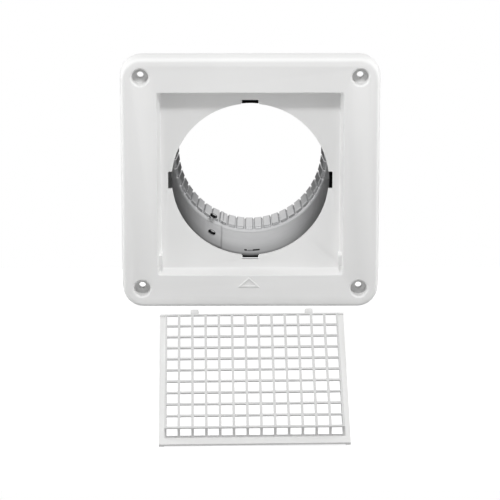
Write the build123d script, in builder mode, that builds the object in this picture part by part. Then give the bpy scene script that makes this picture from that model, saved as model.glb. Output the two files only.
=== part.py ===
# Wall vent: a moulded face plate with a square recess, a crimped sheet-metal tail pipe
# behind it, and a lift-off grille that lies in front, below the plate.
# Millimetres. Origin at the centre of the screw pattern, on the wall plane.
# +X is to the right as seen from the front, +Y goes into the wall, +Z is up.
from build123d import *
from math import atan, cos, degrees, hypot, radians, sin, tan
import os

# Face plate
border_width = 23.2         # front face beside the recess, out to the rim at the wall
plate_depth = 12.2          # wall plane to front face
rim_draft = 5.0             # degrees, the rim narrows towards the front
plate_corner_radius = 14.0
front_edge_fillet = 2.5
face_wall = 2.2             # thickness of the front skin
rim_wall = 2.3
side_wall = 2.2             # thickness of the recess's four side walls
back_wall = 1.9             # thickness of the recess's back wall

# Recess
recess_side_margin = 4.6    # back wall left and right of the pipe's slots
recess_end_margin = 5.3     # back wall above and below them
recess_drop = 0.45          # the recess sits this much below the screw pattern's centre
recess_taper = 2.0          # each side wall leans in by this much down to the back wall
recess_corner_radius = 1.5
recess_floor_fillet = 2.2
recess_lip_fillet = 0.7

# Screw bosses
screw_inset = 12.95         # screws inside the rim's outline, both ways
screw_hole_radius = 2.15
dish_radius = 5.2
dish_depth = 8.0
dish_lip_chamfer = 1.0
boss_wall = 1.9

# Back of the plate
rib_thickness = 1.6
rib_spacing = 62.0
rib_setback = 1.5           # the ribs stop this far short of the wall plane

# Tail pipe
pipe_outer_radius = 50.8
sheet = 0.5
pipe_length = 76.0          # wall plane to the crimped end
crimp_length = 18.0
bead_length = 8.0
bead_height = 1.2
crimp_count = 52
crimp_land_share = 0.68     # part of each crimp's pitch that is pressed inwards
crimp_flank_share = 0.09    # part of each pitch taken by one flank
land_inset_start = 1.4      # how far the lands are pressed in behind the bead
land_inset_end = 3.3        # and at the end of the pipe
groove_inset_start = 0.1
groove_inset_end = 2.1
crimp_seat = 0.05           # the crimped ring starts this far inside both faces of the sheet

# Lap seam, given by angles from the bottom of the pipe towards -X
seam_angle = 22.0
seam_lap_angle = 14.0
clinch_angle = 29.2
clinch_radius = 2.5
clinch_depth = 0.5
clinch_before_bead = 22.0   # first clinched point, from the bead towards the wall plane
clinch_before_end = 14.0    # second one, from the crimped end

# Round hole with its tab slots, and the pipe's tabs
pipe_end_cover = 0.8        # the hole is this much smaller than the pipe's radius
slot_width = 11.0
slot_margin = 1.6           # slot's outer side outside the pipe
tab_side_clearance = 0.5
tab_end_clearance = 0.3
lance_width = 10.0
lance_height = 2.4
lance_place = 11.0          # from the wall plane

# Grille: a flat frame whose grid rises towards the lower end and comes back down to the
# frame there as an upright row of bars
grille_side_clearance = 0.4     # closed grille in the recess's front edge, at each side
grille_end_clearance = 0.8      # and at its top and bottom
frame_thickness = 1.4
rail_width = 3.6            # the two flat side rails
grille_columns = 13
grille_rows = 11            # the last row is the upright one
bar_width = 1.6
bar_thickness = 1.0
bend_thickness = 1.1        # long bars at their lower bend
top_bar_width = 1.3
grid_rise_top = 1.0         # upper face of the grid above the rails, at the top bar
grid_rise_low = 8.6         # and at the upright row
lower_strip_width = 5.5     # flat strip of the frame below the upright row
upright_foot = 0.9          # solid band under the upright row's openings
cheek_thickness = 1.1       # side walls between the rails and the grid
tab_width = 5.3
tab_length = 4.4
tab_thickness = 1.0
tab_spacing = 72.9
tab_corner_radius = 1.4
foot_width = 3.2
foot_length = 3.0
foot_height = 0.6

# Grille's seat in the recess: it closes with its frame flush and its grid inside
grille_seat_depth = 0.1     # closed frame behind the plate's front face
window_clearance = 0.3
lug_rise = 0.8              # how far the lugs stand out of the side walls at the back wall
lug_height = 6.6
lug_bottom = 5.9            # lower side of the lugs above the recess's lower front edge
lug_clearance = 0.2

# Where the grille lies: parallel to the plane that touches the plate's lower wall-side edge
# and the pipe's crimped end, as if both had been laid on one table
grille_shift = 0.8          # to the right
grille_stand_off = 6.4      # its top edge in front of the plate
grille_drop = 2.4           # its top edge below the plate
grille_turn = 0.85          # degrees

# Worked-out sizes
duct_hole_radius = pipe_outer_radius - pipe_end_cover
slot_reach = pipe_outer_radius + slot_margin
recess_width = 2 * (slot_reach + recess_side_margin + recess_taper)
recess_height = 2 * (slot_reach + recess_end_margin + recess_taper)
plate_size = recess_width + 2 * border_width
screw_spacing = plate_size - 2 * screw_inset
pipe_inner_radius = pipe_outer_radius - sheet
crimp_start = pipe_length - crimp_length
bead_start = crimp_start - bead_length
hollow_depth = plate_depth - face_wall
grille_width = recess_width - 2 * grille_side_clearance
grille_height = recess_height - 2 * grille_end_clearance
upright_place = grille_height - lower_strip_width
cheek_outer = grille_width / 2 - rail_width
column_pitch = (2 * (cheek_outer - cheek_thickness) + bar_width) / grille_columns
row_run = hypot(upright_place, grid_rise_low - grid_rise_top)
row_pitch = (row_run - top_bar_width) / (grille_rows - 1)
grid_slope = degrees(atan((grid_rise_low - grid_rise_top) / upright_place))
pipe_end_radius = pipe_outer_radius - land_inset_end / 2 - groove_inset_end / 2
lean = degrees(atan((plate_size / 2 - pipe_end_radius) / pipe_length))

os.makedirs("parts", exist_ok=True)


def wall_plane(depth):
    """Plane parallel to the wall, its normal towards the front, depth mm into the wall."""
    return Plane.XZ.offset(-depth)


def rim_size(depth):
    """Width of the plate's rim at a depth counted from the wall plane towards the front."""
    return plate_size - 2 * depth * tan(radians(rim_draft))


def pipe_point(radius, angle):
    """Point of the pipe's section, by its angle from the bottom towards -X."""
    return (-radius * sin(radians(angle)), -radius * cos(radians(angle)))


# Hollow of the plate's back: a ring between the rim and the recess's side walls. It is made
# by itself first, then cut out of the plate.
with BuildPart() as back_hollow:
    with BuildSketch(wall_plane(0)):
        RectangleRounded(
            rim_size(0) - 2 * rim_wall, rim_size(0) - 2 * rim_wall, plate_corner_radius - rim_wall
        )
    extrude(amount=hollow_depth, taper=rim_draft)
    with BuildSketch(wall_plane(0)) as island_back:
        with Locations((0, -recess_drop)):
            Rectangle(
                recess_width - 2 * recess_taper + 2 * side_wall,
                recess_height - 2 * recess_taper + 2 * side_wall,
            )
    with BuildSketch(wall_plane(-plate_depth)) as island_front:
        with Locations((0, -recess_drop)):
            Rectangle(recess_width + 2 * side_wall, recess_height + 2 * side_wall)
    loft(mode=Mode.SUBTRACT)
    # bosses round the screw holes
    with BuildSketch(wall_plane(0)):
        with GridLocations(screw_spacing, screw_spacing, 2, 2):
            Circle(dish_radius + boss_wall)
    extrude(amount=hollow_depth, mode=Mode.SUBTRACT)
    # ribs between the rim and the recess
    with BuildSketch(wall_plane(-rib_setback)):
        with GridLocations(rib_spacing, 0, 2, 1):
            Rectangle(rib_thickness, plate_size)
        with GridLocations(0, rib_spacing, 1, 2):
            Rectangle(plate_size, rib_thickness)
    extrude(amount=hollow_depth - rib_setback, mode=Mode.SUBTRACT)

with BuildPart() as housing:
    with BuildSketch(wall_plane(0)):
        RectangleRounded(rim_size(0), rim_size(0), plate_corner_radius)
    extrude(amount=plate_depth, taper=rim_draft)
    front_edges = housing.faces().sort_by(Axis.Y)[0].edges()
    fillet(front_edges, front_edge_fillet)
    add(back_hollow.part, mode=Mode.SUBTRACT)

    # recess with leaning walls
    with BuildSketch(wall_plane(-plate_depth)) as recess_mouth:
        with Locations((0, -recess_drop)):
            RectangleRounded(recess_width, recess_height, recess_corner_radius)
    with BuildSketch(wall_plane(-back_wall)) as recess_floor:
        with Locations((0, -recess_drop)):
            RectangleRounded(
                recess_width - 2 * recess_taper,
                recess_height - 2 * recess_taper,
                recess_corner_radius,
            )
    loft(mode=Mode.SUBTRACT)
    floor_face = housing.faces().filter_by(Axis.Y).group_by(Axis.Y)[1].sort_by(SortBy.AREA)[-1]
    fillet(floor_face.outer_wire().edges(), recess_floor_fillet)
    lip_face = housing.faces().filter_by(Axis.Y).sort_by(Axis.Y)[0]
    fillet(lip_face.inner_wires()[0].edges(), recess_lip_fillet)

    # round hole and the slots for the pipe's tabs
    with BuildSketch(wall_plane(0)):
        Circle(duct_hole_radius)
        Rectangle(2 * slot_reach, slot_width)
        Rectangle(slot_width, 2 * slot_reach)
    extrude(amount=back_wall, mode=Mode.SUBTRACT)

    # counterbored screw holes
    with Locations(wall_plane(-plate_depth)):
        with GridLocations(screw_spacing, screw_spacing, 2, 2):
            CounterBoreHole(
                radius=screw_hole_radius,
                counter_bore_radius=dish_radius,
                counter_bore_depth=dish_depth,
                depth=plate_depth,
            )
    dish_edges = (
        housing.edges()
        .filter_by(GeomType.CIRCLE)
        .filter_by(lambda edge: abs(edge.radius - dish_radius) < 0.01)
        .group_by(Axis.Y)[0]
    )
    chamfer(dish_edges, dish_lip_chamfer)

    # ledges on the recess's side walls that the closed grille's rails rest on
    lug_front = plate_depth - grille_seat_depth - frame_thickness - lug_clearance
    lug_centre = -recess_height / 2 - recess_drop + lug_bottom + lug_height / 2
    lug_span = recess_taper + lug_rise
    with BuildSketch(wall_plane(-back_wall / 2)):
        with Locations((0, lug_centre)):
            with GridLocations(recess_width - lug_span, 0, 2, 1):
                Rectangle(lug_span, lug_height)
    extrude(amount=lug_front - back_wall / 2)

    # windows in the recess's top wall for the grille's hook tabs
    window_place = grille_seat_depth + frame_thickness + grid_rise_top - tab_thickness / 2
    window_bottom = recess_height / 2 - recess_drop - recess_taper - side_wall / 2
    with BuildSketch(Plane.XY.offset(window_bottom)):
        with Locations((0, window_place - plate_depth)):
            with GridLocations(tab_spacing, 0, 2, 1):
                Rectangle(tab_width + 2 * window_clearance, tab_thickness + 2 * window_clearance)
    extrude(amount=recess_taper + side_wall + tab_length, mode=Mode.SUBTRACT)
housing.part.label = "housing"
export_step(housing.part, "parts/housing.step")


def crimp_outline(skin, land_inset, groove_inset):
    """Closed outline of the crimped pipe. skin is the uncrimped radius of the face that is
    drawn. The lap seam takes the place of one groove, and inside it the face steps in."""
    inner_face = skin < pipe_outer_radius - sheet / 2
    pitch = 360 / crimp_count
    groove_share = 1 - crimp_land_share - 2 * crimp_flank_share
    seam_index = round(seam_angle / pitch)
    lap_pitches = round(seam_lap_angle / pitch)
    points = []
    for index in range(crimp_count):
        in_lap = seam_index <= index < seam_index + lap_pitches
        step = sheet if inner_face and in_lap else 0
        land = skin - land_inset - step
        groove = skin - groove_inset - step
        first_groove = land if index == seam_index - 1 else groove
        start = index * pitch
        for share, radius in (
            (0, land),
            (crimp_land_share, land),
            (crimp_land_share + crimp_flank_share, first_groove),
            (crimp_land_share + crimp_flank_share + groove_share, first_groove),
        ):
            points.append(pipe_point(radius, start + share * pitch))
    return points


crimp_stages = (
    # place, land inset, groove inset
    (crimp_start - sheet, land_inset_start, groove_inset_start),
    (pipe_length, land_inset_end, groove_inset_end),
)

with BuildPart() as tail_pipe:
    # crimped ring, with a step that joins the front ends of its lands to the bead
    for place, land_inset, groove_inset in crimp_stages:
        with BuildSketch(wall_plane(place)):
            with BuildLine():
                Polyline(
                    *crimp_outline(pipe_outer_radius - crimp_seat, land_inset, groove_inset),
                    close=True,
                )
            make_face()
    loft(ruled=True)
    with BuildSketch(wall_plane(crimp_start - sheet)):
        Circle(pipe_outer_radius - crimp_seat)
    extrude(amount=-2 * sheet)
    for place, land_inset, groove_inset in crimp_stages:
        with BuildSketch(wall_plane(place)):
            with BuildLine():
                Polyline(
                    *crimp_outline(pipe_inner_radius + crimp_seat, land_inset, groove_inset),
                    close=True,
                )
            make_face()
    loft(ruled=True, mode=Mode.SUBTRACT)

    # plain tube, with the sheet's two ends lapped over each other
    seam_end = seam_angle + seam_lap_angle
    seam_middle = seam_angle + seam_lap_angle / 2
    with BuildSketch(wall_plane(-back_wall)):
        Circle(pipe_outer_radius)
        Circle(pipe_inner_radius, mode=Mode.SUBTRACT)
        with BuildLine():
            Line(pipe_point(pipe_inner_radius + sheet / 2, seam_angle),
                 pipe_point(pipe_inner_radius - sheet, seam_angle))
            ThreePointArc(pipe_point(pipe_inner_radius - sheet, seam_angle),
                          pipe_point(pipe_inner_radius - sheet / 2, seam_middle),
                          pipe_point(pipe_inner_radius + sheet / 4, seam_end))
            Line(pipe_point(pipe_inner_radius + sheet / 4, seam_end),
                 pipe_point(pipe_inner_radius + sheet / 2, seam_end))
            ThreePointArc(pipe_point(pipe_inner_radius + sheet / 2, seam_end),
                          pipe_point(pipe_inner_radius + sheet / 2, seam_middle),
                          pipe_point(pipe_inner_radius + sheet / 2, seam_angle))
        make_face()
        with BuildLine():
            Line(pipe_point(pipe_outer_radius - sheet / 2, seam_end),
                 pipe_point(pipe_outer_radius + sheet, seam_end))
            ThreePointArc(pipe_point(pipe_outer_radius + sheet, seam_end),
                          pipe_point(pipe_outer_radius + sheet / 2, seam_middle),
                          pipe_point(pipe_outer_radius - sheet / 4, seam_angle))
            Line(pipe_point(pipe_outer_radius - sheet / 4, seam_angle),
                 pipe_point(pipe_outer_radius - sheet / 2, seam_angle))
            ThreePointArc(pipe_point(pipe_outer_radius - sheet / 2, seam_angle),
                          pipe_point(pipe_outer_radius - sheet / 2, seam_middle),
                          pipe_point(pipe_outer_radius - sheet / 2, seam_end))
        make_face()
    extrude(amount=-back_wall - bead_start)

    # in front of the wall plane only four tabs are left, which pass the back wall's slots
    tab_span = slot_width - 2 * tab_side_clearance
    with BuildSketch(wall_plane(0)):
        Circle(pipe_outer_radius + 2 * sheet)
        Rectangle(3 * pipe_outer_radius, tab_span, mode=Mode.SUBTRACT)
        Rectangle(tab_span, 3 * pipe_outer_radius, mode=Mode.SUBTRACT)
    extrude(amount=2 * back_wall, mode=Mode.SUBTRACT)

    # bead that stops the next pipe
    bead_top_start = bead_start + bead_length / 3
    bead_top_end = crimp_start - bead_length / 3
    with BuildSketch(Plane.XY):
        with BuildLine():
            Polyline(
                (pipe_inner_radius, bead_start),
                (pipe_outer_radius, bead_start),
                (pipe_outer_radius + bead_height, bead_top_start),
                (pipe_outer_radius + bead_height, bead_top_end),
                (pipe_outer_radius, crimp_start),
                (pipe_inner_radius, crimp_start),
                (pipe_inner_radius + bead_height, bead_top_end),
                (pipe_inner_radius + bead_height, bead_top_start),
                close=True,
            )
        make_face()
    revolve(axis=Axis.Y)

    # clinched points that hold the lap together, pressed outwards
    for place in (bead_start - clinch_before_bead, pipe_length - clinch_before_end):
        seat = pipe_point(pipe_inner_radius, clinch_angle)
        outward = (-sin(radians(clinch_angle)), 0, -cos(radians(clinch_angle)))
        clinch_plane = Plane(origin=(seat[0], place, seat[1]), z_dir=outward)
        with BuildSketch(clinch_plane):
            Circle(clinch_radius + sheet)
        extrude(amount=sheet + clinch_depth + sheet)
        with BuildSketch(clinch_plane.offset(-4 * sheet)):
            Circle(clinch_radius)
        extrude(amount=5 * sheet + clinch_depth, mode=Mode.SUBTRACT)

    # the tabs' ends, turned outwards
    with BuildSketch(wall_plane(-back_wall)):
        Rectangle(2 * (slot_reach - tab_end_clearance), tab_span)
        Rectangle(tab_span, 2 * (slot_reach - tab_end_clearance))
        Circle(pipe_inner_radius + sheet / 2, mode=Mode.SUBTRACT)
    extrude(amount=-sheet)

    # lanced slits behind the tabs
    with BuildSketch(Plane.XY):
        with Locations((0, lance_place)):
            Rectangle(lance_width, lance_height)
    extrude(amount=2 * pipe_outer_radius, both=True, mode=Mode.SUBTRACT)
    with BuildSketch(Plane.YZ):
        with Locations((lance_place, 0)):
            Rectangle(lance_height, lance_width)
    extrude(amount=2 * pipe_outer_radius, both=True, mode=Mode.SUBTRACT)
tail_pipe.part.label = "tail_pipe"
export_step(tail_pipe.part, "parts/tail_pipe.step")

# The grille's frame: x along its top edge, y up the grille, z away from the table
uphill = Vector(0, cos(radians(lean)), sin(radians(lean)))
grille_plane = Plane(
    origin=(
        grille_shift,
        -plate_depth - grille_stand_off,
        -plate_size / 2 - grille_drop,
    ),
    x_dir=Vector(cos(radians(grille_turn)), 0, 0) + uphill * sin(radians(grille_turn)),
    z_dir=(0, -sin(radians(lean)), cos(radians(lean))),
)
side_plane = Plane(
    origin=grille_plane.origin, x_dir=grille_plane.y_dir, z_dir=grille_plane.x_dir
)
grid_plane = Plane(
    origin=grille_plane.from_local_coords(Vector(0, 0, grid_rise_top)),
    x_dir=grille_plane.x_dir,
    z_dir=grille_plane.z_dir * cos(radians(grid_slope))
    + grille_plane.y_dir * sin(radians(grid_slope)),
)

with BuildPart() as grille:
    # flat frame: side rails and bottom strip, with a thin bar laid across their top ends
    with BuildSketch(grille_plane.offset(-frame_thickness)):
        with Locations((0, -grille_height / 2)):
            with GridLocations(grille_width - rail_width, 0, 2, 1):
                Rectangle(rail_width, grille_height)
        with Locations((0, -(upright_place - bar_thickness + grille_height) / 2)):
            Rectangle(grille_width, grille_height - upright_place + bar_thickness)
    extrude(amount=frame_thickness)
    with BuildSketch(grille_plane.offset(grid_rise_top - bar_thickness)):
        with Locations((0, -top_bar_width / 2)):
            Rectangle(grille_width, top_bar_width)
    extrude(amount=bar_thickness)

    # cheeks between the rails and the grid
    for side in (-1, 1):
        with BuildSketch(side_plane.offset(side * (cheek_outer - cheek_thickness / 2))):
            with BuildLine():
                Polyline(
                    (0, -frame_thickness),
                    (0, grid_rise_top),
                    (-upright_place, grid_rise_low),
                    (-upright_place, -frame_thickness),
                    close=True,
                )
            make_face()
        extrude(amount=cheek_thickness / 2, both=True)

    # the long bars run down the slope and then upright to the frame
    for column in range(1, grille_columns):
        bar_place = (column - grille_columns / 2) * column_pitch
        with BuildSketch(side_plane.offset(bar_place)):
            with BuildLine():
                Polyline(
                    (0, grid_rise_top),
                    (-upright_place, grid_rise_low),
                    (-upright_place, 0),
                    (-upright_place + bar_thickness, 0),
                    (-upright_place + bar_thickness, grid_rise_low - bend_thickness),
                    (0, grid_rise_top - bar_thickness),
                    close=True,
                )
            make_face()
        extrude(amount=bar_width / 2, both=True)

    # cross bars, the last one on the upright row's upper edge
    first_bar = -top_bar_width - row_pitch + bar_width / 2
    with BuildSketch(grid_plane):
        for row in range(grille_rows - 1):
            with Locations((0, first_bar - row * row_pitch)):
                Rectangle(2 * cheek_outer, bar_width)
    extrude(amount=-bar_thickness)
    with BuildSketch(grille_plane):
        with Locations((0, -upright_place + bar_thickness / 2)):
            Rectangle(2 * cheek_outer, bar_thickness)
    extrude(amount=upright_foot)

    # hook tabs on the top edge
    with BuildSketch(grille_plane.offset(grid_rise_top)):
        with Locations((0, tab_length / 2 - top_bar_width / 4)):
            with GridLocations(tab_spacing, 0, 2, 1):
                Rectangle(tab_width, tab_length + top_bar_width / 2)
        fillet(vertices().group_by(Axis.Y)[-1], tab_corner_radius)
    extrude(amount=-tab_thickness)

    # small feet under the lower corners
    with BuildSketch(grille_plane.offset(-frame_thickness)):
        with Locations((0, -grille_height + foot_length / 2)):
            with GridLocations(grille_width - foot_width, 0, 2, 1):
                Rectangle(foot_width, foot_length)
    extrude(amount=-foot_height)
grille.part.label = "grille"
export_step(grille.part, "parts/grille.step")
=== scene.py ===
import math

import bmesh
import bpy
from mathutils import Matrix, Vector


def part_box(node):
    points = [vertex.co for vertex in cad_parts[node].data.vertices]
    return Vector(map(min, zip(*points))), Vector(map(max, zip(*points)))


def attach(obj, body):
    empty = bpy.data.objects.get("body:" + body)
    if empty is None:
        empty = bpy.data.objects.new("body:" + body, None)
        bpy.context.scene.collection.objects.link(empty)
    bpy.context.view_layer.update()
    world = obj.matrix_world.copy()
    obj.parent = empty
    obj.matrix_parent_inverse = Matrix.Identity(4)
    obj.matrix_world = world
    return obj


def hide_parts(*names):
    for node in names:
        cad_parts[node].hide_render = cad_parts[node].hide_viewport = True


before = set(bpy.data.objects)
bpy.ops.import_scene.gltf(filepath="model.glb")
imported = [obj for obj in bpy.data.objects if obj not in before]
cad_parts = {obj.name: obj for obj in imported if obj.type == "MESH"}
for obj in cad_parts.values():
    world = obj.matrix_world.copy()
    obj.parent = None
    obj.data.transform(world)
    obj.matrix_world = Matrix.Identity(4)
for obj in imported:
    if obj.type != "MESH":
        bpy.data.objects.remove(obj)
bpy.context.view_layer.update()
scene = bpy.context.scene
scene.view_settings.view_transform = "Standard"

# Camera: a long lens two metres in front of the plate, looking down on it by 16.5 degrees. Its
# place was fitted to the plate's outline, the recess, the round hole and the pipe's far end.
camera_data = bpy.data.cameras.new("camera")
camera_data.sensor_width = 36
camera_data.lens = 222.07
camera_data.clip_end = 30
camera = bpy.data.objects.new("camera", camera_data)
camera.location = (-0.00159, -1.89709, 0.51366)
camera.rotation_euler = (math.radians(73.535), math.radians(0.051), math.radians(-0.057))
scene.collection.objects.link(camera)
scene.camera = camera


# Studio: a white table, a white room and one lamp high in front, as for a catalogue picture. The
# table is lit as the object is, and what the camera sees of it is lifted to white from within.
class Output:
    """One output of a node. A sum or a comparison on it adds a Math node to the same tree."""

    def __init__(self, socket):
        self.socket = socket
        self.tree = socket.id_data

    @staticmethod
    def node(tree, kind, settings=None, sockets=None, output=0):
        """A node of that type. Its settings are set first, then the values or links of its
        sockets. Sockets and the output that is wanted go by name or by place."""
        made = tree.nodes.new(kind)
        for name, value in (settings or {}).items():
            setattr(made, name, value)
        for place, value in (sockets or {}).items():
            if isinstance(value, Output):
                tree.links.new(value.socket, made.inputs[place])
            else:
                made.inputs[place].default_value = value
        return Output(made.outputs[output])

    def math(self, operation, *values):
        return Output.node(self.tree, "ShaderNodeMath", {"operation": operation},
                           dict(enumerate(values)))

    def __add__(self, other):
        return self.math("ADD", self, other)

    def __radd__(self, other):
        return self.math("ADD", other, self)

    def __sub__(self, other):
        return self.math("SUBTRACT", self, other)

    def __rsub__(self, other):
        return self.math("SUBTRACT", other, self)

    def __mul__(self, other):
        return self.math("MULTIPLY", self, other)

    def __rmul__(self, other):
        return self.math("MULTIPLY", other, self)

    def __truediv__(self, other):
        return self.math("DIVIDE", self, other)

    def __rtruediv__(self, other):
        return self.math("DIVIDE", other, self)

    def __mod__(self, other):
        return self.math("FLOORED_MODULO", self, other)

    def __pow__(self, other):
        return self.math("POWER", self, other)

    def __lt__(self, other):
        return self.math("LESS_THAN", self, other)

    def __gt__(self, other):
        return self.math("GREATER_THAN", self, other)

    def at_least(self, other):
        return self.math("MAXIMUM", self, other)

    def at_most(self, other):
        return self.math("MINIMUM", self, other)

    def whole(self):
        return self.math("FLOOR", self)

    def size(self):
        return self.math("ABSOLUTE", self)

    def sine(self):
        return self.math("SINE", self)

    def cosine(self):
        return self.math("COSINE", self)

    def eased(self, start, end):
        """0 before start, 1 after end, and smooth between them."""
        return Output.node(self.tree, "ShaderNodeMapRange", {"interpolation_type": "SMOOTHSTEP"},
                           {"Value": self, "From Min": start, "From Max": end})


def bare_material(name):
    """A new material with nothing in it, its tree and its output node."""
    material = bpy.data.materials.new(name)
    material.use_nodes = True
    material.node_tree.nodes.clear()
    ending = material.node_tree.nodes.new("ShaderNodeOutputMaterial")
    return material, material.node_tree, ending


white = (1, 1, 1, 1)
world = bpy.data.worlds.new("white room")
scene.world = world
world.use_nodes = True
# the walls are soft, so the rays find them without a map of the room's light
world.cycles.sampling_method = "NONE"
room = world.node_tree
room.nodes.clear()
way = Output.node(room, "ShaderNodeTexCoord", output="Generated")
across = Output.node(room, "ShaderNodeSeparateXYZ", sockets={0: way}, output="X")
height = Output.node(room, "ShaderNodeSeparateXYZ", sockets={0: way}, output="Z")
camera_ray = Output.node(room, "ShaderNodeLightPath", output="Is Camera Ray")
gloss_ray = Output.node(room, "ShaderNodeLightPath", output="Is Glossy Ray")
glass_ray = Output.node(room, "ShaderNodeLightPath", output="Is Transmission Ray")

# what lights the object: bright walls left and right, little from the front
front_light = 0.21
side_light = 3.25
soft_walls = front_light + side_light * across ** 4

# what polished metal shows: a white backdrop and ceiling over a dim floor line, and two side
# walls, of which the left one is the brighter
floor_shine = 0.03
backdrop_shine = 0.75
ceiling_shine = 0.35
left_shine = 0.40
right_shine = 0.15
side_walls = left_shine * (0.0 - across).eased(0.45, 0.8) + right_shine * across.eased(0.4, 0.8)
mirrored = (floor_shine + backdrop_shine * height.eased(0.0, 0.30)
            + ceiling_shine * height.eased(0.3, 0.7) + side_walls)


def room_light(strength):
    """White light of that strength from all round the room."""
    return Output.node(room, "ShaderNodeBackground",
                       sockets={"Color": white, "Strength": strength})


lit = room_light(soft_walls)
gloss = room_light(mirrored)
plain = room_light(1)
reflected = Output.node(room, "ShaderNodeMixShader", sockets={0: gloss_ray, 1: lit, 2: gloss})
shown = Output.node(room, "ShaderNodeMixShader",
                    sockets={0: camera_ray.at_least(glass_ray), 1: reflected, 2: plain})
room_end = room.nodes.new("ShaderNodeOutputWorld")
room.links.new(shown.socket, room_end.inputs["Surface"])

lamp_distance = 0.92
lamp_tilt = math.radians(36.3)
lamp_aside = -0.02
lamp_level = 1.64
lamp_data = bpy.data.lights.new("lamp", "AREA")
lamp_data.shape = "DISK"
lamp_data.size = 0.14
lamp_data.energy = lamp_level * math.pi * lamp_distance ** 2
lamp = bpy.data.objects.new("lamp", lamp_data)
lamp.location = (lamp_aside, -lamp_distance * math.sin(lamp_tilt),
                 lamp_distance * math.cos(lamp_tilt))
lamp.rotation_euler = (lamp_tilt, 0, 0)
scene.collection.objects.link(lamp)

table_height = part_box("grille")[0].z
table_side = 0.45
table_front = -0.20
table_back = 0.25
table_grey = (0.55, 0.55, 0.55, 1)
table_glow = 0.70
table_in_gloss = 0.25           # how much of the glow shows in polished metal
table_mesh = bpy.data.meshes.new("table")
table_mesh.from_pydata(
    [(-table_side, table_front, table_height), (table_side, table_front, table_height),
     (table_side, table_back, table_height), (-table_side, table_back, table_height)],
    [], [(0, 1, 2, 3)])
table = bpy.data.objects.new("table", table_mesh)
scene.collection.objects.link(table)
table_paint, tree, ending = bare_material("white table")
camera_sees = Output.node(tree, "ShaderNodeLightPath", output="Is Camera Ray")
gloss_sees = Output.node(tree, "ShaderNodeLightPath", output="Is Glossy Ray")
glass_sees = Output.node(tree, "ShaderNodeLightPath", output="Is Transmission Ray")
matt = Output.node(tree, "ShaderNodeBsdfDiffuse", sockets={"Color": table_grey})
glow = Output.node(tree, "ShaderNodeEmission", sockets={"Color": white, "Strength": table_glow})
lifted = Output.node(tree, "ShaderNodeAddShader", sockets={0: matt, 1: glow})
glow_seen = camera_sees.at_least(gloss_sees * table_in_gloss).at_least(glass_sees)
surface = Output.node(tree, "ShaderNodeMixShader", sockets={0: glow_seen, 1: matt, 2: lifted})
tree.links.new(surface.socket, ending.inputs["Surface"])
table_mesh.materials.append(table_paint)


# Housing: the face plate with its recess, one injection moulding in white plastic, screwed to the
# wall through its four corners. Its skin is an even couple of millimetres, hollow at the back.
housing_white = (0.80, 0.80, 0.796, 1)
housing_edge_round = 0.0003
housing_wave = 0.03
mould_grain = 0.0004
weld_distance = 2e-6
flat_angle = math.radians(0.6)          # neighbouring faces within it are one flat face
mould_edge_angle = math.radians(38)     # edges that turn by more get the mould's radius


def settle(piece):
    """Makes what a piece's modifiers give its plain mesh, and removes them."""
    made = bpy.data.meshes.new_from_object(
        piece.evaluated_get(bpy.context.evaluated_depsgraph_get()))
    piece.modifiers.clear()
    piece.data = made


def softened_copy(node, name, edge_round):
    """A copy of a CAD node's mesh with its loose triangles joined, flat faces made whole and
    sharp edges rounded as a mould leaves them. Faces with no width to them go last."""
    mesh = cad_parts[node].data.copy()
    mesh.name = name
    shell = bmesh.new()
    shell.from_mesh(mesh)
    bmesh.ops.remove_doubles(shell, verts=shell.verts, dist=weld_distance)
    bmesh.ops.dissolve_limit(shell, angle_limit=flat_angle, verts=shell.verts, edges=shell.edges)
    shell.to_mesh(mesh)
    shell.free()
    piece = bpy.data.objects.new(name, mesh)
    scene.collection.objects.link(piece)
    rounding = piece.modifiers.new("mould radius", "BEVEL")
    rounding.width = edge_round
    rounding.segments = 2
    rounding.limit_method = "ANGLE"
    rounding.angle_limit = mould_edge_angle
    settle(piece)
    shell = bmesh.new()
    shell.from_mesh(piece.data)
    bmesh.ops.dissolve_degenerate(shell, dist=weld_distance, edges=shell.edges)
    shell.to_mesh(piece.data)
    shell.free()
    return piece


def smooth_by_angle(piece, degrees):
    """Smooth shading, with the edges sharper than that left crisp."""
    shell = bmesh.new()
    shell.from_mesh(piece.data)
    for face in shell.faces:
        face.smooth = True
    for edge in shell.edges:
        if len(edge.link_faces) == 2:
            edge.smooth = edge.calc_face_angle(0) < math.radians(degrees)
    shell.to_mesh(piece.data)
    shell.free()


def colour_mix(factor, first, second, blend="MIX"):
    """Two colours mixed: the first where the factor is 0, and the second, or the blend of both,
    where it is 1. The colour sockets share their names with others, so they go by place."""
    return Output.node(factor.tree, "ShaderNodeMix", {"data_type": "RGBA", "blend_type": blend},
                       {0: factor, 6: first, 7: second}, output=2)


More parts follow.
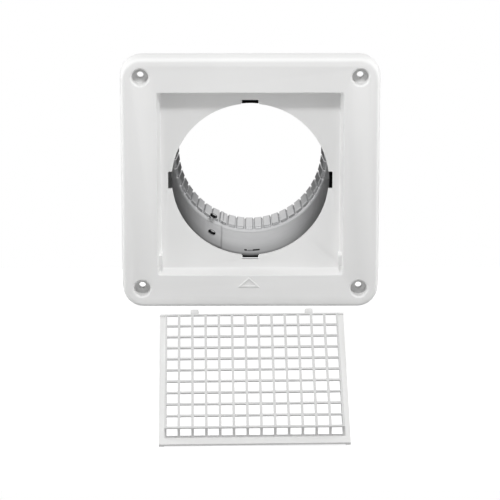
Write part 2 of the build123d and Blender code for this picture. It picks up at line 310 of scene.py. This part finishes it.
def moulded_plastic(name, colour, grain, wave):
    """White moulded plastic: an almost even colour, a fine eroded grain from the mould's steel,
    and the slight waves of a wall that shrank as it cooled. Sizes in metres. Marked points are
    greyer with painted shade, for the shade on thin bars and the light that goes through them."""
    clouding = 0.975
    clouded_colour = tuple(part * clouding for part in colour[:3]) + (1,)
    # painted shade: the grey that marked points are multiplied by
    bar_shade_grey = (0.85, 0.85, 0.853, 1)
    wall_roughness = 0.58
    grain_roughness = 0.12
    material, tree, ending = bare_material(name)
    place = Output.node(tree, "ShaderNodeTexCoord", output="Object")
    steel = Output.node(tree, "ShaderNodeTexNoise",
                        sockets={"Vector": place, "Scale": 1 / grain, "Detail": 3.0})
    shrink = Output.node(tree, "ShaderNodeTexNoise",
                         sockets={"Vector": place, "Scale": 1 / wave, "Detail": 2.0})
    cloud = Output.node(tree, "ShaderNodeTexNoise",
                        sockets={"Vector": place, "Scale": 18.0, "Detail": 4.0})
    even = colour_mix(cloud.eased(0.35, 0.65), colour, clouded_colour)
    # painted shade marks on the bars
    painted_bar_shade = Output.node(tree, "ShaderNodeAttribute", {"attribute_name": "painted_bar_shade"}, output="Fac")
    tint = colour_mix(painted_bar_shade, even, bar_shade_grey, "MULTIPLY")
    waves = Output.node(tree, "ShaderNodeBump",
                        sockets={"Strength": 0.35, "Distance": 0.0002, "Height": shrink})
    skin = Output.node(tree, "ShaderNodeBump",
                       sockets={"Strength": 0.25, "Distance": 0.00004, "Height": steel,
                                "Normal": waves})
    shader = Output.node(tree, "ShaderNodeBsdfPrincipled",
                         sockets={"Base Color": tint, "Normal": skin, "IOR": 1.46,
                                  "Roughness": wall_roughness + grain_roughness * steel})
    tree.links.new(shader.socket, ending.inputs["Surface"])
    return material


housing_plastic = moulded_plastic("moulded white plate", housing_white, mould_grain, housing_wave)
housing = softened_copy("housing", "housing_shell", housing_edge_round)
smooth_by_angle(housing, 32)
housing.data.materials.clear()
housing.data.materials.append(housing_plastic)
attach(housing, "vent")
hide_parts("housing")


# Triangle mark: a raised outline of a triangle on the plate below the recess, part of the same
# moulding. It points up, to where the closed grille's lower edge sits.
mark_apex = (-0.0010, -0.0616)
mark_left = (-0.0078, -0.0682)
mark_right = (0.0059, -0.0682)
mark_line = 0.0010
mark_height = 0.00045
mark_sink = 0.0003
mark_skirt = 0.00015            # how far a side has flared at its sunk foot
mark_round = 0.00018            # from a side's shoulder to the flat top
mark_shoulder = mark_height * 0.7
mark_section = (
    (-mark_skirt, -mark_sink), (0.0, mark_shoulder), (mark_round, mark_height),
    (mark_line - mark_round, mark_height), (mark_line, mark_shoulder),
    (mark_line + mark_skirt, -mark_sink))
plate_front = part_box("housing")[0].y


def inset_triangle(corners, distance):
    """The corners moved inwards so that each side moves by the distance."""
    moved = []
    for place, corner in enumerate(corners):
        corner = Vector(corner)
        before = (Vector(corners[place - 1]) - corner).normalized()
        after = (Vector(corners[(place + 1) % 3]) - corner).normalized()
        half = before.angle(after) / 2
        moved.append(corner + (before + after).normalized() * distance / math.sin(half))
    return moved


mark_corners = (mark_apex, mark_left, mark_right)
mark = bmesh.new()
rings = []
for distance, height in mark_section:
    rings.append([mark.verts.new((corner.x, plate_front - height, corner.y))
                  for corner in inset_triangle(mark_corners, distance)])
for outer, inner in zip(rings, rings[1:] + rings[:1]):
    for place in range(3):
        follow = (place + 1) % 3
        mark.faces.new((outer[place], outer[follow], inner[follow], inner[place]))
bmesh.ops.recalc_face_normals(mark, faces=mark.faces)
mark_mesh = bpy.data.meshes.new("triangle_mark")
mark.to_mesh(mark_mesh)
mark.free()
triangle_mark = bpy.data.objects.new("triangle_mark", mark_mesh)
scene.collection.objects.link(triangle_mark)
smooth_by_angle(triangle_mark, 50)
mark_mesh.materials.append(housing_plastic)
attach(triangle_mark, "vent")


# Tail pipe: thin aluminium sheet rolled to a tube, its ends lapped and clinched. A bead is rolled
# in it where the next pipe stops, and the end behind the bead is crimped to go into that pipe.
pipe_radius = 0.0508
sheet = 0.0005
pipe_length = 0.076
bead_start = 0.050
bead_end = 0.058
bead_height = 0.0004
crimps = 52
columns_per_crimp = 14
crimp_turn = 0.39               # place of the first crimp, as a share of the pitch
first_land_depth = 0.0015       # of a land just behind the bead
last_land_depth = 0.0034        # and at the pipe's end
last_groove_depth = 0.0020
seam_angle = math.radians(22.0)
lap_angle = math.radians(14.0)
# stretches of the pipe from its front end, each a number of rows and a length
stretches = ((3, 0.0093), (2, 0.0034), (14, 0.0373), (14, 0.008), (8, 0.0024), (16, 0.0156))
rows = sum(count for count, length in stretches)


def geometry_tree(name, numbers):
    """A Geometry Nodes tree with one named input for each of the numbers. Returns the tree, its
    inputs as outputs by name, and the values for its modifier by socket identifier."""
    tree = bpy.data.node_groups.new(name, "GeometryNodeTree")
    values = {}
    for label, value in numbers.items():
        kind = "NodeSocketInt" if isinstance(value, int) else "NodeSocketFloat"
        socket = tree.interface.new_socket(label, in_out="INPUT", socket_type=kind)
        values[socket.identifier] = value
    tree.interface.new_socket("Finish", in_out="INPUT", socket_type="NodeSocketMaterial")
    tree.interface.new_socket("Geometry", in_out="OUTPUT", socket_type="NodeSocketGeometry")
    group = tree.nodes.new("NodeGroupInput")
    inputs = {socket.name: Output(socket) for socket in group.outputs if socket.name}
    return tree, inputs, values


def grown(name, tree, values, finish, shape):
    """Ends the tree in Realize Instances and Set Material, runs it on a new object and returns
    that object with the result as its plain mesh."""
    real = Output.node(tree, "GeometryNodeRealizeInstances", sockets={0: shape})
    painted = Output.node(tree, "GeometryNodeSetMaterial", sockets={"Geometry": real})
    group = next(node for node in tree.nodes if node.bl_idname == "NodeGroupInput")
    tree.links.new(group.outputs["Finish"], painted.socket.node.inputs["Material"])
    ending = tree.nodes.new("NodeGroupOutput")
    tree.links.new(painted.socket, ending.inputs[0])
    piece = bpy.data.objects.new(name, bpy.data.meshes.new(name))
    scene.collection.objects.link(piece)
    growth = piece.modifiers.new(name, "NODES")
    growth.node_group = tree
    for identifier, value in values.items():
        growth[identifier] = value
    for socket in tree.interface.items_tree:
        if socket.name == "Finish":
            growth[socket.identifier] = finish
    settle(piece)
    piece.data.name = name
    piece.data.materials.clear()
    piece.data.materials.append(finish)
    for face in piece.data.polygons:
        face.material_index = 0
    return piece


bright_sheet = (0.66, 0.662, 0.665, 1)
cloudy_sheet = (0.60, 0.603, 0.61, 1)
# painted shade for the pipe's front end
front_shade_sheet = (0.34, 0.342, 0.345, 1)
# painted shade: the near-black that marked slit walls, tab ends, hoods, rivet collars and the
# front edge are darkened to
painted_shade_black = (0.012, 0.012, 0.013, 1)
sheet_roughness = 0.25
streak_roughness = 0.10
patch_roughness = 0.08
pipe_metal, tree, ending = bare_material("rolled aluminium sheet")
place = Output.node(tree, "ShaderNodeTexCoord", output="Object")
round_the_pipe = Output.node(tree, "ShaderNodeMapping",
                             sockets={"Vector": place, "Scale": (0.15, 1.0, 0.15)})
streaks = Output.node(tree, "ShaderNodeTexNoise",
                      sockets={"Vector": round_the_pipe, "Scale": 900.0, "Detail": 3.0})
patches = Output.node(tree, "ShaderNodeTexNoise",
                      sockets={"Vector": place, "Scale": 45.0, "Detail": 3.0})
# painted shade marks, read from the mesh
pipe_painted_shade = Output.node(tree, "ShaderNodeAttribute", {"attribute_name": "pipe_painted_shade"}, output="Fac")
clean_sheet = colour_mix(patches.eased(0.3, 0.7), bright_sheet, cloudy_sheet)
# painted shade: the sheet is darker towards the front end
from_front = Output.node(tree, "ShaderNodeSeparateXYZ", sockets={0: place}, output="Y")
sheet_tint = colour_mix(from_front.eased(-0.004, 0.034), front_shade_sheet, clean_sheet)
tint = colour_mix(pipe_painted_shade, sheet_tint, painted_shade_black)
roughness = sheet_roughness + streak_roughness * streaks + patch_roughness * patches
skin = Output.node(tree, "ShaderNodeBump",
                   sockets={"Strength": 0.2, "Distance": 0.00004, "Height": streaks})
shader = Output.node(tree, "ShaderNodeBsdfPrincipled",
                     sockets={"Base Color": tint, "Metallic": 1.0, "Roughness": roughness,
                              "Normal": skin})
tree.links.new(shader.socket, ending.inputs["Surface"])

tree, inputs, values = geometry_tree("crimped pipe", {
    "Radius": pipe_radius, "Sheet": sheet, "Bead Start": bead_start, "Bead End": bead_end,
    "Bead Height": bead_height, "Length": pipe_length, "Crimps": crimps, "Crimp Turn": crimp_turn,
    "Front Depth": first_land_depth, "Land Depth": last_land_depth,
    "Groove Depth": last_groove_depth, "Seam Angle": seam_angle, "Lap Angle": lap_angle,
    "Columns": crimps * columns_per_crimp, "Rows": rows,
})
around = inputs["Columns"]
skin_rows = inputs["Rows"] + 1
grid = Output.node(tree, "GeometryNodeMeshGrid", sockets={
    "Size X": 1.0, "Size Y": 1.0, "Vertices X": 2 * skin_rows + 1, "Vertices Y": around + 1})
index = Output.node(tree, "GeometryNodeInputIndex")
step = (index / (around + 1)).whole() % (2 * skin_rows)
inner = step > (skin_rows - 0.5)
row = step * (1 - inner) + (2 * skin_rows - 1 - step) * inner
depth = 0.0
first_row = 0
for count, length in stretches:
    depth = depth + ((row - first_row) / count).at_least(0.0).at_most(1.0) * length
    first_row += count
# the columns stand closer together on the grooves' flanks
crowding = 0.5
turn = (index % (around + 1)) / around * inputs["Crimps"]
from_groove = turn % 1.0 - 0.5
crowded = turn - crowding * (from_groove * math.tau).sine() / math.tau
angle = (crowded - inputs["Crimp Turn"] + 0.5) * math.tau / inputs["Crimps"]
wrapped_angle = angle % math.tau

# bead: a round ridge pressed outwards
bead_place = ((depth - inputs["Bead Start"])
              / (inputs["Bead End"] - inputs["Bead Start"])).at_least(0.0).at_most(1.0)
bead = inputs["Bead Height"] * (bead_place * math.pi).sine().at_least(0.0) ** 2.0

# lap: each end of the sheet eases in to the other over the lap's width
lap_place = (wrapped_angle - inputs["Seam Angle"]) / inputs["Lap Angle"]
in_lap = (lap_place > 0) * (lap_place < 1)
lap = in_lap * (lap_place - inner) * inputs["Sheet"]

# crimps: wide lands pressed in, rounded where they start, with narrow grooves left between them
crimps_ease = 0.13              # share of their length in which they start
groove_half = 0.15              # half a groove's width, as a share of the pitch
groove_widening = 0.04          # how much more that is where they start
flank_start = -0.09             # the slope from groove to land, before and after that line
flank_end = 0.07
crimped_length = inputs["Length"] - inputs["Bead End"]
crimp_place = ((depth - inputs["Bead End"]) / crimped_length).at_least(0.0)
started = crimp_place.eased(0.0, crimps_ease)
off_middle = from_groove.size()
flank = (off_middle - groove_half - groove_widening * (1 - started)).eased(flank_start, flank_end)
land_depth = (inputs["Front Depth"] * started
              + (inputs["Land Depth"] - inputs["Front Depth"]) * crimp_place)
groove_depth = inputs["Groove Depth"] * crimp_place
crimp = groove_depth + (land_depth - groove_depth) * flank

radius = inputs["Radius"] - inner * inputs["Sheet"] + bead + lap - crimp
spot = Output.node(tree, "ShaderNodeCombineXYZ", sockets={
    0: radius * angle.sine() * -1.0, 1: depth, 2: radius * angle.cosine() * -1.0})
wrapped = Output.node(tree, "GeometryNodeSetPosition",
                      sockets={"Geometry": grid, "Position": spot})
closed = Output.node(tree, "GeometryNodeMergeByDistance",
                     sockets={"Geometry": wrapped, "Distance": weld_distance})
tail_pipe = grown("tail_pipe_sheet", tree, values, pipe_metal, closed)
shell = bmesh.new()
shell.from_mesh(tail_pipe.data)
# painted shade, marked per point and then per corner
dark = shell.verts.layers.float.new("painted_shade_points")
dark_corners = shell.loops.layers.float.new("pipe_painted_shade")
bmesh.ops.recalc_face_normals(shell, faces=shell.faces)


def ways_at(side):
    """Outwards and sideways at that angle round the pipe, from its lowest line to the left."""
    outward = Vector((-math.sin(side), 0, -math.cos(side)))
    aside = Vector((-math.cos(side), 0, math.sin(side)))
    return outward, aside


def sheet_strip(shell, side, section, start, end, stations, shade):
    """Sweeps a closed section sideways from start to end across the pipe's wall on one of its
    four sides. A flat point of the section keeps its height all the way, and the others follow
    the round of the pipe. The shade scales their darkness."""
    outward, aside = ways_at(side)
    rings = []
    for station in range(stations + 1):
        offset = start + (end - start) * station / stations
        ring = []
        for radius, depth, flat, darkness in section:
            height = radius if flat else math.sqrt(radius * radius - offset * offset)
            ring.append(shell.verts.new(outward * height + aside * offset + Vector((0, depth, 0))))
            ring[-1][dark] = darkness * shade
        rings.append(ring)
    faces = [shell.faces.new(rings[0]), shell.faces.new(reversed(rings[-1]))]
    for ring, after in zip(rings, rings[1:]):
        for place, corner in enumerate(ring):
            follow = (place + 1) % len(ring)
            faces.append(shell.faces.new((corner, after[place], after[follow], ring[follow])))
    bmesh.ops.recalc_face_normals(shell, faces=faces)


# On each of the pipe's four sides a tab is turned out in its slot, and behind it the sheet is
# lanced: a slit, with a short tongue at its front pressed inwards and a hood over it pressed
# outwards. The sections' points are radius, depth, whether they are flat, and darkness, the
# painted shade that stands in for the dark of the slots and of the hoods' insides.
tab_half = 0.0051
tab_stations = 10
tab_shades = (1.0, 0.20, 1.0, 1.0)      # bottom, left, top and right: how much painted shade their ends get
tab_section = (
    (0.05032, 0.0001, False, 0.0), (0.05032, -0.0015, False, 0.0), (0.05036, -0.0018, False, 1.0),
    (0.05045, -0.00188, False, 1.0), (0.05120, -0.00189, True, 1.0),
    (0.05228, -0.00189, True, 1.0), (0.05228, -0.00140, True, 0.0),
    (0.05110, -0.00140, True, 0.0), (0.05092, -0.0013, False, 0.0),
    (0.05080, -0.00105, False, 0.0), (0.05078, 0.0001, False, 0.0))
# the lowest tab stays almost straight, its inner face to the front, painted dark as shade
low_tab_section = (
    (0.05032, 0.0001, False, 0.6), (0.05032, -0.0006, False, 1.0), (0.05036, -0.0017, False, 1.0),
    (0.05050, -0.00188, False, 1.0), (0.05140, -0.00189, True, 1.0), (0.05140, -0.0014, True, 1.0),
    (0.05100, -0.0012, False, 0.5), (0.05078, 0.0001, False, 0.0))
tongue_start = -0.0016
tongue_end = 0.0022
tongue_stations = 4
tongue_section = (
    (0.05036, 0.0086, False, 0.0), (0.05004, 0.0090, False, 0.0), (0.04962, 0.0108, False, 0.0),
    (0.04986, 0.0109, False, 0.0), (0.05060, 0.0090, False, 0.0))
hood_stations = 10
# the hood's inner points carry painted shade
hood_section = (
    (0.05058, 0.0132, False, 1.0), (0.05120, 0.0122, False, 1.0), (0.05200, 0.0091, False, 1.0),
    (0.05235, 0.0091, False, 0.0), (0.05160, 0.0125, False, 0.0), (0.05078, 0.0140, False, 0.0))
slit_place = 0.011
slit_length = 0.010
slit_height = 0.0034
slit_aside = -0.0011
slit_front = slit_place - slit_height / 2
slit_back = slit_place + slit_height / 2
slit_walls = set()
for quarter in range(4):
    outward, aside = ways_at(quarter * math.tau / 4)
    cut = []
    for face in shell.faces:
        middle = face.calc_center_median()
        if slit_front < middle.y < slit_back and middle.dot(outward) > pipe_radius / 2:
            if abs(middle.dot(aside) - slit_aside) < slit_length / 2:
                cut.append(face)
    bmesh.ops.delete(shell, geom=cut, context="FACES")
    walls = bmesh.ops.bridge_loops(shell, edges=[edge for edge in shell.edges if edge.is_boundary])
    slit_walls.update(walls["faces"])
for quarter in range(4):
    side = quarter * math.tau / 4
    sheet_strip(shell, side, tab_section if quarter else low_tab_section, -tab_half, tab_half,
                tab_stations, tab_shades[quarter])
    sheet_strip(shell, side, tongue_section, tongue_start, tongue_end, tongue_stations, 1)
    sheet_strip(shell, side, hood_section, slit_aside - slit_length / 2,
                slit_aside + slit_length / 2, hood_stations, 1)

# Two rivets through the lap, with a dark collar of painted shade round each one's clenched end
# inside the pipe.
rivet_angle = math.radians(30.0)
rivet_places = (0.028, 0.062)
rivet_depths = (0.0, 0.0016)            # how far the lap is pressed in there
# the section's points are radius, height over the sheet's inner face towards the axis, and
# darkness, a painted shade
rivet_section = (
    (0.0, 0.0012, 0.0), (0.0012, 0.0012, 0.0), (0.0015, 0.0014, 0.9), (0.0021, 0.0014, 1.0),
    (0.0026, 0.0008, 1.0), (0.0027, 0.0, 1.0), (0.0027, -0.0006, 0.0), (0.0030, -0.0007, 0.0),
    (0.0026, -0.0012, 0.0), (0.0015, -0.0016, 0.0), (0.0, -0.0017, 0.0))
rivet_sides = 20
outward, aside = ways_at(rivet_angle)
for rivet_place, rivet_depth in zip(rivet_places, rivet_depths):
    rings = []
    for ring_radius, height, darkness in rivet_section:
        seat = outward * (pipe_radius - sheet - rivet_depth - height) + Vector((0, rivet_place, 0))
        sides = rivet_sides if ring_radius else 1
        ring = []
        for side in range(sides):
            angle = math.tau * side / sides
            ring.append(shell.verts.new(seat + aside * ring_radius * math.cos(angle)
                                        + Vector((0, ring_radius * math.sin(angle), 0))))
            ring[-1][dark] = darkness
        rings.append(ring)
    faces = []
    for ring, after in zip(rings, rings[1:]):
        for side in range(rivet_sides):
            follow = (side + 1) % rivet_sides
            corners = [ring[side % len(ring)], after[side % len(after)],
                       after[follow % len(after)], ring[follow % len(ring)]]
            faces.append(shell.faces.new(list(dict.fromkeys(corners))))
    bmesh.ops.recalc_face_normals(shell, faces=faces)

# Painted shade: the slits' sheared walls are darkened, and so is the front edge where the plate
# shades it, most at the lower left.
shaded_depth = 0.004            # how deep into the pipe the edge's shade reaches
shade_fade = 0.007              # and the depth at which it would be gone
shade_middle = 0.4
shade_tilt = 0.5
for face in shell.faces:
    for corner in face.loops:
        spot = corner.vert.co
        shade = 1.0 if face in slit_walls else corner.vert[dark]
        if -sheet < spot.y < shaded_depth:
            edge_shade = min(shade_middle - shade_tilt * (spot.x + spot.z) / pipe_radius, 1.0)
            shade = max(shade, edge_shade * (1 - spot.y / shade_fade))
        corner[dark_corners] = shade
shell.to_mesh(tail_pipe.data)
shell.free()
smooth_by_angle(tail_pipe, 40)
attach(tail_pipe, "vent")
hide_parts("tail_pipe")


# Grille: one white moulding, a flat frame whose thin bars rise from it towards the lower end and
# come down there as an upright row. Two hooks on its top edge go into the recess's top wall.
grille_white = (0.75, 0.75, 0.745, 1)
grille_edge_round = 0.0003
grille_wave = 0.02
grille_plastic = moulded_plastic("moulded white grille", grille_white, mould_grain, grille_wave)
grille = softened_copy("grille", "grille_moulding", grille_edge_round)
smooth_by_angle(grille, 35)

# how the grille lies: on a slope, turned a little on it, from the middle of its top edge
lean = math.radians(24.165)
turn_aside = math.radians(0.85)
top_edge = Vector((0.0008, -0.0186, -0.0846))
slope = Vector((0, math.cos(lean), math.sin(lean)))
upright = Vector((0, -math.sin(lean), math.cos(lean)))
sideways = Vector((math.cos(turn_aside), 0, 0)) + slope * math.sin(turn_aside)
uphill = upright.cross(sideways)

# the bars, above the frame's face and within its inner edges, are thin, and get painted shade
grid_half = 0.0551
grid_length = 0.1125
top_slack = 0.0002
face_slack = 0.00005
painted_bar_shade = grille.data.attributes.new("painted_bar_shade", "FLOAT", "POINT")
for vertex in grille.data.vertices:
    spot = vertex.co - top_edge
    inside = abs(spot.dot(sideways)) < grid_half and -grid_length < spot.dot(uphill) < top_slack
    painted_bar_shade.data[vertex.index].value = float(inside and spot.dot(upright) > face_slack)
grille.data.materials.clear()
grille.data.materials.append(grille_plastic)
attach(grille, "grille")
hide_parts("grille")
